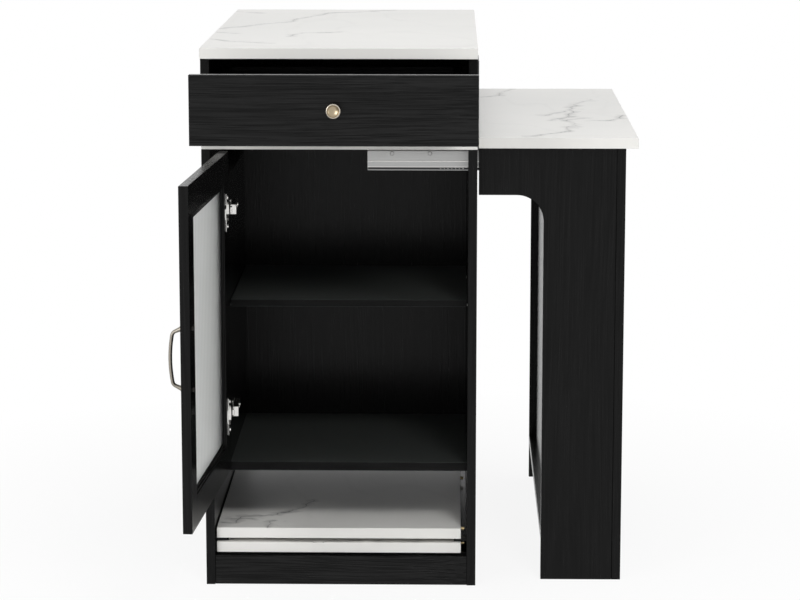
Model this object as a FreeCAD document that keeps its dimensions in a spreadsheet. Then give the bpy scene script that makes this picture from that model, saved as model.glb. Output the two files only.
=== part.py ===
import FreeCAD
import Part
import Sketcher
import math
import os
import re

Vector = FreeCAD.Vector
Rotation = FreeCAD.Rotation

# Driving sizes of the kitchen island, in millimetres and degrees.
SIZES = {
    # carcass boards
    "cabinet_width": 457,
    "cabinet_depth": 800,
    "board": 15,
    "slab": 18,
    "edge_break": 0.6,
    "overrun": 5,
    "fit": 0.1,
    "kick_height": 50,
    "kick_recess": 3,
    "deck_underside": 745,
    "top_overhang": 15,
    "base_shelf_top": 210,
    "base_shelf_recess": 20,
    "liner": 27,
    "liner_recess": 22,
    "liner_headroom": 8,
    # adjustable shelves and their pins
    "shelf_top": 485,
    "shelf_board": 12,
    "shelf_recess": 45,
    "shelf_gap": 1,
    "shelf_pin_radius": 2.5,
    "shelf_pin_length": 16,
    "shelf_pin_depth": 8,
    "shelf_pin_inset": 37,
    # drawers
    "drawer_case_height": 133,
    "drawer_face_gap": 7,
    "drawer_face_drop": 1.6,
    "drawer_bumper": 1,
    "drawer_side": 12,
    "drawer_box_rise": 10,
    "drawer_box_headroom": 28,
    "drawer_rear_gap": 42.5,
    "drawer_bottom": 6,
    "drawer_bottom_rise": 4,
    "front_drawer_pull": 192,
    "knob_radius": 12.7,
    "knob_rim": 3,
    "knob_neck_radius": 5,
    "knob_foot_radius": 8,
    "knob_foot": 2.5,
    "knob_neck": 9,
    "knob_head": 12,
    "screw_radius": 2,
    "screw_head_radius": 4.2,
    "screw_head": 2.4,
    "screw_grip": 8,
    # ball-bearing slides
    "slide_height": 45,
    "slide_width": 12.7,
    "slide_wall": 1.2,
    "slide_play": 0.4,
    "slide_setback": 2,
    # doors
    "door_gap": 3,
    "door_head_gap": 4,
    "door_bottom": 199,
    "door_pivot_inset": 10.2,
    "front_door_opening": 93.7,
    "stile": 54,
    "glass": 4,
    "glass_lip": 5,
    "glass_bearing": 8,
    "glass_gap": 0.2,
    "bead_width": 13,
    "handle_spacing": 96,
    "handle_reach": 23,
    "handle_bar_radius": 3,
    "handle_bend": 10,
    "handle_bow_radius": 150,
    "handle_inset": 27,
    "hinge_end_inset": 98.5,
    "hinge_cup_radius": 17.5,
    "hinge_cup_depth": 11.5,
    "hinge_cup_inset": 23,
    "hinge_cup_wall": 1.5,
    "hinge_flange_height": 62,
    "hinge_flange_width": 24,
    "hinge_flange": 1.5,
    "hinge_arm_width": 17,
    "hinge_arm_reach": 41,
    "hinge_arm_front": 19.4,
    "hinge_arm_length": 66,
    "hinge_nose": 12,
    "hinge_arm_depth": 10,
    "hinge_tip_start": 9,
    "hinge_link_width": 5,
    "hinge_link_height": 10,
    "hinge_plate": 2,
    "hinge_plate_height": 20,
    "hinge_plate_length": 30,
    # extending table
    "table_gap": 3,
    "table_top_gap": 2.5,
    "table_setback": 20,
    "table_end_overhang": 19,
    "table_top_overhang": 21,
    "table_reach": 233,
    "leg_width": 121.4,
    "apron_height": 81,
    "arch_radius": 45,
    "inner_panel_offset": 13.4,
    "base_board_underside": 67,
    "table_slide_length": 416,
    "table_slide_height": 39,
    "table_slide_width": 14,
    "table_slide_drop": 3,
    "hanger_width": 18,
    # loose leaves and what carries them
    "leaf_gap": 2.3,
    "seat_gap": 0.3,
    "lower_runner": 3.7,
    "upper_runner": 5.7,
    "runner_width": 22,
    "runner_headroom": 1,
    "leaf_pin_radius": 3,
    "leaf_pin_length": 22,
    "leaf_pin_reach": 5.9,
    "leaf_pin_clearance": 4,
    "leaf_pin_inset": 35,
    # power outlet
    "outlet_rise": 72,
    "outlet_length": 116,
    "outlet_width": 50,
    "outlet_thickness": 5.5,
    "outlet_recess": 1.5,
    "socket_size": 34,
    "socket_gap": 6,
    "slot_width": 2.2,
    "slot_length": 8,
    "slot_spread": 12.5,
    "earth_radius": 2.6,
    "outlet_slot_depth": 2.5,
}

# Places that follow from the sizes. X runs across the cabinet from its middle,
# Y runs back from the middle of the front toe kick, Z runs up from the floor.
PLACES = {
    "half_width": "cabinet_width / 2",
    "half_inside": "half_width - board",
    "inside_width": "2 * half_inside",
    "liner_height": "table_slide_base - slide_play - liner_headroom - base_shelf_top",
    "liner_face": "liner - half_inside",
    "front_plane": "-kick_recess - board / 2",
    "back_plane": "front_plane + cabinet_depth",
    "middle": "front_plane + cabinet_depth / 2",
    "case_floor_top": "deck_underside + slab + board",
    "deck_top": "deck_underside + slab",
    "top_underside": "deck_top + drawer_case_height",
    "drawer_face_bottom": "case_floor_top - drawer_face_drop",
    "drawer_face_height": "drawer_case_height - board - drawer_face_gap + drawer_face_drop",
    "drawer_box_height": "drawer_case_height - board - drawer_box_rise - drawer_box_headroom",
    "bay_depth": "(cabinet_depth - board) / 2",
    "drawer_box_depth": "bay_depth - drawer_rear_gap",
    "slide_length": "drawer_box_depth",
    "shelf_depth": "bay_depth - shelf_recess - shelf_gap",
    "half_box": "half_inside - slide_width",
    "knob_length": "knob_foot + knob_neck + knob_head",
    "knob_height": "case_floor_top + drawer_face_height / 2",
    "slide_base": "case_floor_top + drawer_box_rise + (drawer_box_height - slide_height) / 2",
    "slide_pair_turn": "2 * slide_setback + slide_length",
    "door_width": "inside_width - 2 * door_gap",
    "door_height": "deck_underside - door_head_gap - door_bottom",
    "pane_width": "door_width - 2 * stile + 2 * glass_bearing",
    "pane_height": "door_height - 2 * stile + 2 * glass_bearing",
    "pivot_from_middle": "half_inside - door_gap - door_pivot_inset",
    "lower_hinge_height": "door_bottom + hinge_end_inset",
    "upper_hinge_height": "door_bottom + door_height - hinge_end_inset",
    "handle_height": "door_bottom + door_height / 2",
    "bow_centre": "handle_bow_radius - handle_reach + handle_bar_radius",
    "bow_lean": "asin((handle_spacing / 2 - handle_bend) / (handle_bow_radius - handle_bend))",
    "bow_corner": "bow_centre - (handle_bow_radius - handle_bend) * cos(bow_lean)",
    "hinge_cup_place": "hinge_cup_inset - door_pivot_inset",
    "open_corner_x": "board * sin(front_door_opening) - door_pivot_inset * cos(front_door_opening)",
    "open_corner_y": "door_pivot_inset * sin(front_door_opening) + board * cos(front_door_opening)",
    "hinge_tip_y": "board + hinge_flange + slide_play",
    "table_left": "half_width + table_gap",
    "table_front": "front_plane + table_setback",
    "table_length": "cabinet_depth - table_setback",
    "table_top_width": "table_reach + board + table_end_overhang - table_top_gap",
    "arch_front": "table_front + table_top_overhang",
    "arch_length": "table_length - 2 * table_top_overhang",
    "end_panel_left": "half_width + table_reach",
    "leg_left": "end_panel_left - leg_width",
    "table_middle": "table_front + table_length / 2",
    "table_slide_left": "end_panel_left - seat_gap - table_slide_length",
    "table_slide_front": "arch_front + board",
    "table_slide_base": "deck_underside - table_slide_drop - table_slide_height",
    "hanger_front": "table_slide_front + table_slide_width",
    "hanger_height": "table_slide_drop + table_slide_height",
    "hanger_length": "half_inside - table_slide_left",
    "leaf_left": "-half_inside + leaf_gap",
    "leaf_width": "inside_width - leaf_gap - leaf_pin_reach - leaf_pin_clearance",
    "leaf_front": "middle - table_length / 2",
    "lower_leaf_base": "kick_height + lower_runner + seat_gap",
    "upper_runner_base": "lower_leaf_base + slab + runner_headroom",
    "upper_leaf_base": "upper_runner_base + upper_runner + seat_gap",
    "outlet_height": "deck_top + outlet_rise",
    "socket_pitch": "socket_size + socket_gap",
}

doc = FreeCAD.newDocument("KitchenIsland")
sheet = doc.addObject("Spreadsheet::Sheet", "Sizes")
for row, (alias, size) in enumerate(SIZES.items(), start=1):
    sheet.set(f"A{row}", alias)
    sheet.set(f"B{row}", str(size))
    sheet.setAlias(f"B{row}", alias)
doc.recompute()

nodes = []


def bound(text):
    """Turns plain words into an expression on the sheet's cells."""
    def swap(found):
        word = found.group()
        if word in ("sin", "cos", "asin"):
            return word
        if word in PLACES:
            return "(" + bound(PLACES[word]) + ")"
        return "Sizes." + word
    return re.sub(r"[a-z_]+", swap, text)


def number(text):
    return float(sheet.evalExpression(bound(text)))


def bind(thing, **texts):
    for name, text in texts.items():
        thing.setExpression(name, bound(text))
    return thing


def move(thing, at, angle=None):
    for axis, text in zip("xyz", at):
        if text != "0":
            thing.setExpression(f"Placement.Base.{axis}", bound(text))
    if angle:
        thing.setExpression("Placement.Rotation.Angle", bound(angle))
    return thing


def block(size, at):
    box = doc.addObject("Part::Box", "block")
    bind(box, Length=size[0], Width=size[1], Height=size[2])
    return move(box, at)


TURNS = {
    "x": Rotation(Vector(0, 1, 0), 90),
    "y": Rotation(Vector(1, 0, 0), -90),
    "z": Rotation(),
}


def rod(radius, length, at, along="z"):
    cylinder = doc.addObject("Part::Cylinder", "rod")
    cylinder.Placement = FreeCAD.Placement(Vector(), TURNS[along])
    bind(cylinder, Radius=radius, Height=length)
    return move(cylinder, at)


def fuse(pieces):
    whole = doc.addObject("Part::MultiFuse", "joined")
    whole.Shapes = pieces
    return whole


def cut(base, tools):
    result = doc.addObject("Part::Cut", "cut")
    result.Base = base
    result.Tool = tools[0] if len(tools) == 1 else fuse(tools)
    return result


def group(pieces, at=("0", "0", "0"), angle=None):
    compound = doc.addObject("Part::Compound", "group")
    compound.Links = pieces
    return move(compound, at, angle)


def sketch_on(body, role, name="sketch"):
    plane = next(item for item in body.Origin.OriginFeatures if item.Role == role)
    sketch = body.newObject("Sketcher::SketchObject", name)
    sketch.AttachmentSupport = [(plane, "")]
    sketch.MapMode = "FlatFace"
    return sketch


def outline(sketch, corners):
    """Draws a closed outline of straight sides, each corner held by two bound distances."""
    spots = [Vector(number(across), number(up), 0) for across, up in corners]
    count = len(corners)
    for index, spot in enumerate(spots):
        sketch.addGeometry(Part.LineSegment(spot, spots[(index + 1) % count]), False)
    for index in range(count):
        sketch.addConstraint(Sketcher.Constraint("Coincident", index, 2, (index + 1) % count, 1))
    for index, corner in enumerate(corners):
        for kind, axis, text, place in (("DistanceX", -2, corner[0], spots[index].x),
                                        ("DistanceY", -1, corner[1], spots[index].y)):
            if text == "0":
                sketch.addConstraint(Sketcher.Constraint("PointOnObject", index, 1, axis))
                continue
            held = sketch.addConstraint(Sketcher.Constraint(kind, -1, 1, index, 1, place))
            name = f"{kind[-1].lower()}_of_corner_{index}"
            sketch.renameConstraint(held, name)
            sketch.setExpression("Constraints." + name, bound(text))


def pad(body, sketch, length, reverse=False):
    feature = body.newObject("PartDesign::Pad", "pad")
    feature.Profile = sketch
    feature.Reversed = reverse
    bind(feature, Length=length)
    return feature


def break_edges(body, feature, size="edge_break"):
    doc.recompute()
    chamfer = body.newObject("PartDesign::Chamfer", "broken_edges")
    chamfer.Base = (feature, ["Edge1"])
    chamfer.UseAllEdges = True
    bind(chamfer, Size=size)
    return chamfer


def board(size, at):
    """One cut board with slightly broken edges, its near lower left corner at the given place."""
    body = doc.addObject("PartDesign::Body", "board")
    sketch = sketch_on(body, "XY_Plane")
    outline(sketch, [("0", "0"), (size[0], "0"), (size[0], size[1]), ("0", size[1])])
    break_edges(body, pad(body, sketch, size[2]))
    return move(body, at)


def edges_where(shape, test):
    return [f"Edge{index}" for index, edge in enumerate(shape.Edges, start=1) if test(edge)]


def node(label, thing):
    thing.Label = label
    nodes.append(thing)
    return thing


# Where each moving group stands at rest: its base point and its turn about the upright axis.
GROUPS = {
    "front_drawer": (("0", "front_plane - front_drawer_pull", "0"), None),
    "front_middle": (("0", "front_plane - front_drawer_pull / 2", "0"), None),
    "front_bay": (("0", "front_plane", "0"), None),
    "rear_bay": (("0", "back_plane", "0"), "180"),
    "front_door": (("-pivot_from_middle", "front_plane", "0"), "-front_door_opening"),
    "rear_door": (("pivot_from_middle", "back_plane", "0"), "180"),
}


def stand(label, pieces, place):
    at, angle = GROUPS[place]
    return node(label, group(pieces, at, angle))


def both_bays(label, pieces):
    """The same fixed pieces in the front bay and, turned round, in the rear bay."""
    pair = [group(pieces, *GROUPS[place]) for place in ("front_bay", "rear_bay")]
    return node(label, group(pair))


def cabinet():
    panel_size = ("board", "cabinet_depth", "deck_underside")
    liner_size = ("liner", "bay_depth - liner_recess", "liner_height")
    left_liner = board(liner_size, ("-half_inside", "front_plane + liner_recess", "base_shelf_top"))
    right_liner = board(liner_size, ("-liner_face", "middle + board / 2", "base_shelf_top"))
    left_panel = fuse([board(panel_size, ("-half_width", "front_plane", "0")), left_liner])
    right_panel = fuse([board(panel_size, ("half_inside", "front_plane", "0")), right_liner])
    pin_holes = {"left": [], "right": []}
    pins = []
    front_pin = "front_plane + shelf_recess + shelf_pin_inset"
    back_pin = "front_plane + shelf_recess + shelf_depth - shelf_pin_inset"
    turned = "2 * middle"
    walls = {"front": ("liner_face", "half_inside"), "rear": ("-half_inside", "-liner_face")}
    for y, bay in ((front_pin, "front"), (back_pin, "front"),
                   (f"{turned} - ({front_pin})", "rear"), (f"{turned} - ({back_pin})", "rear")):
        z = "shelf_top - shelf_board - shelf_pin_radius"
        left_wall, right_wall = walls[bay]
        for side, start in (("left", left_wall + " - shelf_pin_depth"),
                            ("right", right_wall + " + shelf_pin_depth - shelf_pin_length")):
            hole_start = start + (" - fit" if side == "left" else " + shelf_pin_length - shelf_pin_depth")
            hole = rod("shelf_pin_radius + fit", "shelf_pin_depth + fit", (hole_start, y, z), "x")
            pin_holes[side].append(hole)
            pins.append(rod("shelf_pin_radius", "shelf_pin_length", (start, y, z), "x"))
    notch_width = "table_slide_width + 2 * slide_play"
    notch_height = "table_slide_height + table_slide_drop + slide_play + overrun"
    notches = []
    for y in ("table_slide_front - slide_play",
              f"2 * table_middle - table_slide_front + slide_play - ({notch_width})"):
        notches.append(block(("board + 2 * overrun", notch_width, notch_height),
                             ("half_inside - overrun", y, "table_slide_base - slide_play")))
    node("left_side_panel", cut(left_panel, pin_holes["left"]))
    node("right_side_panel", cut(right_panel, pin_holes["right"] + notches))
    node("shelf_pins", group(pins))
    node("centre_divider", board(("inside_width", "board", "deck_underside - base_shelf_top"),
                                 ("-half_inside", "middle - board / 2", "base_shelf_top")))
    node("base_shelf", board(("inside_width", "cabinet_depth - 2 * base_shelf_recess", "board"),
                             ("-half_inside", "front_plane + base_shelf_recess", "base_shelf_top - board")))
    niche_depth = "cabinet_depth - 2 * kick_recess - 2 * board"
    node("niche_floor", board(("inside_width", niche_depth, "board"),
                              ("-half_inside", "board / 2", "kick_height - board")))
    kick = ("inside_width", "board", "kick_height")
    kicks = [board(kick, ("-half_inside", y, "0"))
             for y in ("-board / 2", "back_plane - kick_recess - board")]
    node("toe_kicks", group(kicks))
    shelf_size = ("inside_width - liner - 2 * shelf_gap", "shelf_depth", "shelf_board")
    shelf_base = "shelf_top - shelf_board"
    shelves = [board(shelf_size, (f"{walls[bay][0]} + shelf_gap", y, shelf_base))
               for bay, y in (("front", "front_plane + shelf_recess"),
                              ("rear", "back_plane - shelf_recess - shelf_depth"))]
    node("adjustable_shelves", group(shelves))
    node("mid_deck", board(("cabinet_width", "cabinet_depth", "slab"),
                           ("-half_width", "front_plane", "deck_underside")))
    node("island_top", board(("cabinet_width", "cabinet_depth + 2 * top_overhang", "slab"),
                             ("-half_width", "front_plane - top_overhang", "top_underside")))


def drawer_case():
    side_size = ("board", "cabinet_depth", "top_underside - deck_top")
    sides = [board(side_size, (x, "front_plane", "deck_top")) for x in ("-half_width", "half_inside")]
    node("drawer_case_sides", group(sides))
    node("drawer_case_floor", board(("inside_width", "cabinet_depth", "board"),
                                    ("-half_inside", "front_plane", "deck_top")))
    node("drawer_case_divider", board(("inside_width", "board", "top_underside - case_floor_top"),
                                      ("-half_inside", "middle - board / 2", "case_floor_top")))


def slide_member(inner_face, outer_face, height, open_inwards, length, at_y):
    """A pressed channel on the right of a drawer, between two distances from the middle plane."""
    base = f"slide_base + (slide_height - ({height})) / 2"
    web_place = inner_face if not open_inwards else f"{inner_face} - overrun"
    whole = block((f"{outer_face} - ({inner_face})", length, height), (inner_face, at_y, base))
    hollow_width = f"{outer_face} - ({inner_face}) - slide_wall + overrun"
    hollow_x = web_place if open_inwards else f"{inner_face} + slide_wall"
    hollow = block((hollow_width, f"{length} + 2 * overrun", f"{height} - 2 * slide_wall"),
                   (hollow_x, f"{at_y} - overrun", f"{base} + slide_wall"))
    return cut(whole, [hollow])


def slide_pair(member):
    """The channel on the right and the same one turned round for the left."""
    return [member, group([member], ("0", "slide_pair_turn", "0"), "180")]


def drawer_slides():
    step = "slide_wall + slide_play"
    outer = slide_member("half_inside - slide_width + 2 * (slide_wall + slide_play)", "half_inside",
                         "slide_height", True, "slide_length", "slide_setback")
    middle = slide_member("half_inside - slide_width + slide_wall + slide_play",
                          "half_inside - slide_wall - slide_play",
                          f"slide_height - 2 * ({step})", True, "slide_length", "slide_setback")
    inner = slide_member("half_box", "half_inside - 2 * (slide_wall + slide_play)",
                         f"slide_height - 4 * ({step})", False, "slide_length", "slide_setback")
    both_bays("drawer_slide_outers", slide_pair(outer))
    stand("front_drawer_slide_middles", slide_pair(middle), "front_middle")
    stand("rear_drawer_slide_middles", slide_pair(middle), "rear_bay")
    stand("front_drawer_slide_inners", slide_pair(inner), "front_drawer")
    stand("rear_drawer_slide_inners", slide_pair(inner), "rear_bay")


def knob():
    """A turned knob with a bored foot, its axis along Y and its foot on the plane y = 0."""
    body = doc.addObject("PartDesign::Body", "knob")
    sketch = sketch_on(body, "XY_Plane")
    neck_end = "-knob_foot - knob_neck"
    outline(sketch, [
        ("screw_radius", "0"),
        ("knob_foot_radius", "0"),
        ("knob_foot_radius", "-knob_foot"),
        ("knob_neck_radius", "-2 * knob_foot"),
        ("knob_neck_radius", f"{neck_end} + knob_foot"),
        ("knob_radius", neck_end + " - knob_rim"),
        ("knob_radius", "-knob_length"),
        ("0", "-knob_length"),
        ("0", "-screw_grip"),
        ("screw_radius", "-screw_grip"),
    ])
    turned = body.newObject("PartDesign::Revolution", "turned")
    turned.Profile = sketch
    turned.ReferenceAxis = (sketch, ["V_Axis"])
    turned.Angle = 360
    doc.recompute()
    front = -number("knob_length")
    rim = edges_where(turned.Shape, lambda edge: edge.BoundBox.YMax < front + number("fit")
                      and edge.BoundBox.XLength > number("knob_radius"))
    rounding = body.newObject("PartDesign::Fillet", "rounded_rim")
    rounding.Base = (turned, rim[:1])
    bind(rounding, Radius="knob_rim")
    return move(body, ("0", "-drawer_bumper - board", "knob_height"))


def drawer():
    face = board(("cabinet_width", "board", "drawer_face_height"),
                 ("-half_width", "-drawer_bumper - board", "drawer_face_bottom"))
    face_hole = rod("screw_radius + fit", "board + 2 * overrun",
                    ("0", "-drawer_bumper - board - overrun", "knob_height"), "y")
    side_size = ("drawer_side", "drawer_box_depth", "drawer_box_height")
    box_base = "case_floor_top + drawer_box_rise"
    sides = [board(side_size, (x, "-drawer_bumper", box_base))
             for x in ("-half_box", "half_box - drawer_side")]
    bottom_base = box_base + " + drawer_bottom_rise"
    between = "2 * half_box - 2 * drawer_side"
    bottom = board((between, "drawer_box_depth", "drawer_bottom"),
                   ("-half_box + drawer_side", "-drawer_bumper", bottom_base))
    back = board((between, "drawer_side", "drawer_box_height - drawer_bottom_rise - drawer_bottom"),
                 ("-half_box + drawer_side", "drawer_box_depth - drawer_bumper - drawer_side",
                  bottom_base + " + drawer_bottom"))
    shank = rod("screw_radius - fit", "board + screw_grip - 2 * fit",
                ("0", "-drawer_bumper - board - screw_grip + 2 * fit", "knob_height"), "y")
    head = rod("screw_head_radius", "screw_head", ("0", "-drawer_bumper", "knob_height"), "y")
    pull = [knob(), fuse([shank, head])]
    face = cut(face, [face_hole])
    for place, name in (("front_drawer", "front"), ("rear_bay", "rear")):
        stand(f"{name}_drawer_face", [face], place)
        stand(f"{name}_drawer_sides", sides, place)
        stand(f"{name}_drawer_bottom", [bottom], place)
        stand(f"{name}_drawer_back", [back], place)
        stand(f"{name}_drawer_knob", pull, place)


def handle_bow():
    """A round bar bent into one long bow with rounded corners, its two feet on the plane y = 0."""
    body = doc.addObject("PartDesign::Body", "bow")
    path = sketch_on(body, "YZ_Plane", "path")
    tall = number("handle_spacing")
    bend = number("handle_bend")
    corner = number("bow_corner")
    lean = math.radians(number("bow_lean"))
    half_turn = math.pi
    quarter = math.radians(90)
    long_circle = Part.Circle(Vector(number("bow_centre"), number("handle_spacing / 2"), 0), Vector(0, 0, 1),
                              number("handle_bow_radius"))
    path.addGeometry(Part.LineSegment(Vector(), Vector(corner, 0, 0)), False)
    path.addGeometry(Part.ArcOfCircle(long_circle, half_turn - lean, half_turn + lean), False)
    path.addGeometry(Part.LineSegment(Vector(corner, tall, 0), Vector(0, tall, 0)), False)
    for up, begin, end in ((bend, half_turn + lean, half_turn + quarter),
                           (tall - bend, quarter, half_turn - lean)):
        circle = Part.Circle(Vector(corner, up, 0), Vector(0, 0, 1), bend)
        path.addGeometry(Part.ArcOfCircle(circle, begin, end), False)
    for ends in (("Tangent", 0, 2, 3, 2), ("Tangent", 1, 2, 3, 1), ("Tangent", 1, 1, 4, 2),
                 ("Tangent", 2, 1, 4, 1), ("Coincident", 0, 1, -1, 1), ("Horizontal", 0),
                 ("Horizontal", 2), ("PointOnObject", 2, 2, -2), ("Equal", 3, 4), ("Equal", 0, 2)):
        path.addConstraint(Sketcher.Constraint(*ends))
    for name, kind, text, ends in (("bend", "Radius", "handle_bend", (3,)),
                                   ("bow", "Radius", "handle_bow_radius", (1,)),
                                   ("spacing", "DistanceY", "handle_spacing", (0, 1, 2, 2)),
                                   ("bow_place", "DistanceX", "bow_centre", (-1, 1, 1, 3))):
        held = path.addConstraint(Sketcher.Constraint(kind, *ends, number(text)))
        path.renameConstraint(held, name)
        path.setExpression("Constraints." + name, bound(text))
    section = sketch_on(body, "XZ_Plane", "section")
    section.addGeometry(Part.Circle(Vector(), Vector(0, 0, 1), number("handle_bar_radius")), False)
    section.addConstraint(Sketcher.Constraint("Coincident", 0, 3, -1, 1))
    held = section.addConstraint(Sketcher.Constraint("Radius", 0, number("handle_bar_radius")))
    section.renameConstraint(held, "round_bar")
    section.setExpression("Constraints.round_bar", bound("handle_bar_radius"))
    doc.recompute()
    bow = body.newObject("PartDesign::AdditivePipe", "bow")
    bow.Profile = section
    bow.Spine = (path, [f"Edge{index}" for index in range(1, path.GeometryCount + 1)])
    return body


def door():
    """One inset door, with its pivot at x = y = 0 and its outer face on the plane y = 0."""
    left = "-door_pivot_inset"
    high = "door_bottom + door_height - stile"
    stile_size = ("stile", "board", "door_height")
    rail_size = ("door_width - 2 * stile", "board", "stile")
    stiles = [board(stile_size, (x, "0", "door_bottom")) for x in (left, left + " + door_width - stile")]
    rails = [board(rail_size, (left + " + stile", "0", z)) for z in ("door_bottom", high)]
    pane_x = left + " + stile - glass_bearing"
    pane_z = "door_bottom + stile - glass_bearing"
    rebate_size = ("pane_width", "board", "pane_height")
    cup_place = ("hinge_cup_place", "board - hinge_cup_depth")
    hinge_heights = ("lower_hinge_height", "upper_hinge_height")
    cups = []
    cup_holes = []
    for z in hinge_heights:
        cup_holes.append(rod("hinge_cup_radius + fit", "board", (*cup_place, z), "y"))
        shell = rod("hinge_cup_radius", "hinge_cup_depth", (*cup_place, z), "y")
        flange = block(("hinge_flange_width", "hinge_flange", "hinge_flange_height"),
                       ("hinge_cup_place - hinge_flange_width / 2", "board",
                        f"{z} - hinge_flange_height / 2"))
        hollow = rod("hinge_cup_radius - hinge_cup_wall", "board",
                     ("hinge_cup_place", "board - hinge_cup_depth + hinge_cup_wall", z), "y")
        wide = rod("hinge_cup_radius", "hinge_flange", ("hinge_cup_place", "board", z), "y")
        cups.append(cut(fuse([shell, flange, wide]), [hollow]))
    screw_x = left + " + door_width - handle_inset"
    screw_heights = [f"handle_height {sign} handle_spacing / 2" for sign in "-+"]
    bow_holes = [rod("screw_radius + fit", "board + 2 * overrun", (screw_x, "-overrun", z), "y")
                 for z in screw_heights]
    hinge_stile = cut(stiles[0], [block(rebate_size, (pane_x, "glass_lip", pane_z)), *cup_holes])
    outer_stile = cut(stiles[1], [block(rebate_size, (pane_x, "glass_lip", pane_z)), *bow_holes])
    cut_rails = [cut(rail, [block(rebate_size, (pane_x, "glass_lip", pane_z))]) for rail in rails]
    pane = block(("pane_width - 2 * glass_gap", "glass", "pane_height - 2 * glass_gap"),
                 (pane_x + " + glass_gap", "glass_lip", pane_z + " + glass_gap"))
    bead_depth = "board - glass_lip - glass"
    bead_y = "glass_lip + glass"
    upright = ("bead_width", bead_depth, "pane_height")
    level = ("pane_width - 2 * bead_width", bead_depth, "bead_width")
    beads = [block(upright, (x, bead_y, pane_z)) for x in (pane_x, pane_x + " + pane_width - bead_width")]
    beads += [block(level, (pane_x + " + bead_width", bead_y, z))
              for z in (pane_z, pane_z + " + pane_height - bead_width")]
    foot_bores = [rod("screw_radius", "screw_grip", (screw_x, "-screw_grip", z), "y") for z in screw_heights]
    bow = cut(move(handle_bow(), (screw_x, "0", screw_heights[0])), foot_bores)
    screws = []
    for z in screw_heights:
        shank = rod("screw_radius - fit", "board + screw_grip - 2 * fit",
                    (screw_x, "2 * fit - screw_grip", z), "y")
        screws.append(fuse([shank, rod("screw_head_radius", "screw_head", (screw_x, "board", z), "y")]))
    for name in ("front", "rear"):
        place = f"{name}_door"
        stand(f"{name}_door_frame", [hinge_stile, outer_stile, *cut_rails], place)
        stand(f"{name}_door_glass", [pane], place)
        stand(f"{name}_door_beads", beads, place)
        stand(f"{name}_door_handle", [bow], place)
        stand(f"{name}_door_handle_screws", screws, place)
        stand(f"{name}_hinge_cups", cups, place)


def hinge_mounts():
    """The plates on the cabinet side and the cranked arms that reach to the door's cups."""
    plates = []
    arms = []
    for z in ("lower_hinge_height", "upper_hinge_height"):
        plate_y = "hinge_arm_front + hinge_arm_length - hinge_plate_length"
        plates.append(block(("hinge_plate", "hinge_plate_length", "hinge_plate_height"),
                            ("liner_face", plate_y, f"{z} - hinge_plate_height / 2")))
        arm_x = "liner_face + hinge_plate"
        arm_z = f"{z} - hinge_arm_width / 2"
        long_arm = block(("hinge_arm_depth", "hinge_arm_length", "hinge_arm_width"),
                         (arm_x, "hinge_arm_front", arm_z))
        nose = block(("hinge_arm_reach - hinge_plate - liner", "hinge_nose", "hinge_arm_width"),
                     (arm_x, "hinge_arm_front", arm_z))
        tip_x = "hinge_tip_start - pivot_from_middle"
        nose_back = "hinge_arm_front + hinge_nose"
        tip_size = (f"hinge_arm_reach - half_inside - ({tip_x})", "liner_recess - seat_gap - hinge_tip_y",
                    "hinge_arm_width")
        tip = block(tip_size, (tip_x, "hinge_tip_y", arm_z))
        link = block(("hinge_link_width", f"{nose_back} - open_corner_y - seat_gap", "hinge_link_height"),
                     ("open_corner_x + seat_gap - pivot_from_middle", "open_corner_y + seat_gap",
                      f"{z} - hinge_link_height / 2"))
        arms.append(fuse([long_arm, nose, tip, link]))
    both_bays("hinge_plates", plates)
    both_bays("hinge_arms", arms)


def table_slide_member(level, open_to_front):
    """One channel of the table slide. Level 0 is the outer one, and each next one nests inside it."""
    step = f"{level} * (slide_wall + slide_play)"
    height = f"table_slide_height - 2 * {step}"
    base = f"table_slide_base + {step}"
    back = f"hanger_front - {step}"
    front = f"table_slide_front + (3 - {level}) * (slide_wall + slide_play)"
    whole = block(("table_slide_length", f"({back}) - ({front})", height), ("table_slide_left", front, base))
    hollow_y = f"{front} - overrun" if open_to_front else f"{front} + slide_wall"
    hollow = block(("table_slide_length + 2 * overrun", f"({back}) - ({front}) - slide_wall + overrun",
                    f"{height} - 2 * slide_wall"),
                   ("table_slide_left - overrun", hollow_y, f"{base} + slide_wall"))
    return cut(whole, [hollow])


def both_ends(member):
    """The piece at the front end of the table and the same one turned round for the rear end."""
    turn_x = "2 * table_slide_left + table_slide_length"
    return [member, group([member], (turn_x, "2 * table_middle", "0"), "180")]


def table_slides():
    for level, name in enumerate(("outers", "first_middles", "second_middles", "inners")):
        node(f"table_slide_{name}", group(both_ends(table_slide_member(level, name != "inners"))))
    hangers = [board(("hanger_length", "hanger_width", "hanger_height"),
                     ("table_slide_left", y, "deck_underside - hanger_height"))
               for y in ("hanger_front", "2 * table_middle - hanger_front - hanger_width")]
    node("table_slide_hangers", group(hangers))


def arch_panel(at_y):
    body = doc.addObject("PartDesign::Body", "arch_panel")
    sketch = sketch_on(body, "XZ_Plane")
    full = "table_reach - table_gap"
    leg = f"{full} - leg_width"
    underside = "deck_underside - apron_height"
    outline(sketch, [("0", "deck_underside"), ("0", underside), (leg, underside), (leg, "0"),
                     (full, "0"), (full, "deck_underside")])
    panel = pad(body, sketch, "board", True)
    doc.recompute()
    corner = Vector(number(leg), 0, number(underside))
    inner = edges_where(panel.Shape, lambda edge: all(
        Vector(end.X, 0, end.Z).distanceToPoint(corner) < number("fit") for end in edge.Vertexes))
    arch = body.newObject("PartDesign::Fillet", "arch")
    arch.Base = (panel, inner)
    bind(arch, Radius="arch_radius")
    break_edges(body, arch)
    return move(body, ("table_left", at_y, "0"))


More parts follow.
